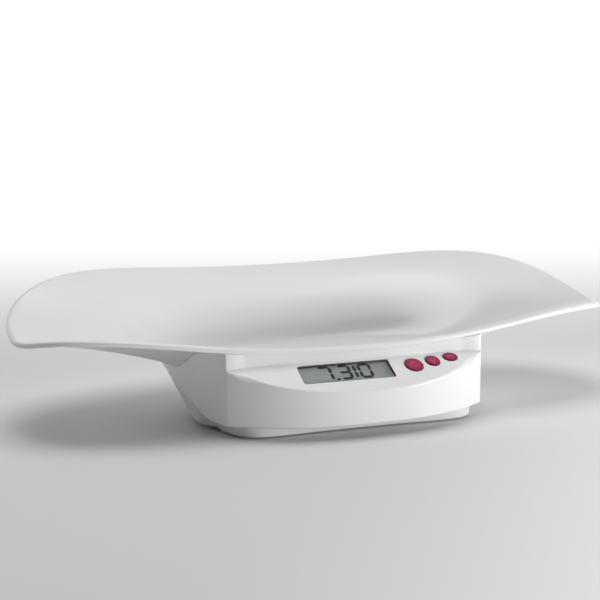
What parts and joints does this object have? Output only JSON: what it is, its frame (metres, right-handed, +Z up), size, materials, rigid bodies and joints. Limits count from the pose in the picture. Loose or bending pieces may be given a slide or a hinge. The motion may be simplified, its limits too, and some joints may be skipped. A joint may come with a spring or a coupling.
{
  "type": "digital baby weighing scale",
  "caption": "Free-standing digital baby scale: a dished white tray with raised ends on a bow-fronted base with a sloped display, push buttons and corner feet.",
  "frame": {"origin": "middle of the foot plane, at the bottom centre of the bounding box", "axes": "+X to the user's right along the tray's length, +Y from the control panel towards the far rim, +Z up out of the tray"},
  "size_m": [0.622, 0.291, 0.1307],
  "materials": {
    "tray_white": "white injection-moulded ABS, satin gloss",
    "housing_white": "white injection-moulded ABS, satin gloss",
    "tub_white": "white ABS, fine eroded texture",
    "window_clear": "clear acrylic",
    "gasket_foam": "black foam",
    "lcd_glass": "grey reflective LCD glass with black segments",
    "holder_plastic": "dark ABS frame",
    "connector_rubber": "striped elastomer connector",
    "circuit_board": "green solder mask",
    "component_body": "black epoxy and nylon",
    "plunger_plastic": "black nylon",
    "button_raspberry": "raspberry ABS, satin",
    "screw_steel": "zinc-plated steel",
    "battery_sleeve": "plain dark sleeve",
    "contact_steel": "nickel-plated spring steel",
    "cell_steel": "milled alloy with gauge coating",
    "cup_plastic": "white nylon",
    "pad_rubber": "light grey non-slip rubber",
    "lead_insulation": "PVC insulation"
  },
  "bodies": {
    "scale": {"tray": "tray_white", "console_housing": "housing_white", "base_tub": "tub_white", "display_window": "window_clear", "display_gasket": "gasket_foam", "lcd_panel": "lcd_glass", "lcd_holder": "holder_plastic", "lcd_connector": "connector_rubber", "main_board": "circuit_board", "board_components": "component_body", "switch_bodies": "component_body", "board_screws": "screw_steel", "batteries": "battery_sleeve", "battery_springs": "contact_steel", "battery_contacts": "contact_steel", "front_left_load_cell": "cell_steel", "front_left_foot_cup": "cup_plastic", "front_left_foot_pad": "pad_rubber", "front_right_load_cell": "cell_steel", "front_right_foot_cup": "cup_plastic", "front_right_foot_pad": "pad_rubber", "rear_left_load_cell": "cell_steel", "rear_left_foot_cup": "cup_plastic", "rear_left_foot_pad": "pad_rubber", "rear_right_load_cell": "cell_steel", "rear_right_foot_cup": "cup_plastic", "rear_right_foot_pad": "pad_rubber", "load_cell_screws": "screw_steel", "housing_screws": "screw_steel", "tray_screws": "screw_steel", "tray_washers": "screw_steel", "load_cell_leads": "lead_insulation", "battery_lead": "lead_insulation"},
    "power_key": {"power_button": "button_raspberry", "power_switch_plunger": "plunger_plastic"},
    "tare_key": {"tare_button": "button_raspberry", "tare_switch_plunger": "plunger_plastic"},
    "unit_key": {"unit_button": "button_raspberry", "unit_switch_plunger": "plunger_plastic"},
    "door": {"battery_door": "tub_white"}
  },
  "joints": [
    {"name": "power_press", "type": "slide", "parent": "scale", "child": "power_key", "axis": [0, 0.4668, -0.8843], "range_m": [0, 0.0008], "stiffness_N_per_m": 900},
    {"name": "tare_press", "type": "slide", "parent": "scale", "child": "tare_key", "axis": [0, 0.4668, -0.8843], "range_m": [0, 0.0008], "stiffness_N_per_m": 900},
    {"name": "unit_press", "type": "slide", "parent": "scale", "child": "unit_key", "axis": [0, 0.4668, -0.8843], "range_m": [0, 0.0008], "stiffness_N_per_m": 900},
    {"name": "battery_door_hinge", "type": "hinge", "parent": "scale", "child": "door", "pos_m": [0, 0.0049, 0.0039], "axis": [1, 0, 0], "range_deg": [0, 95]}
  ]
}
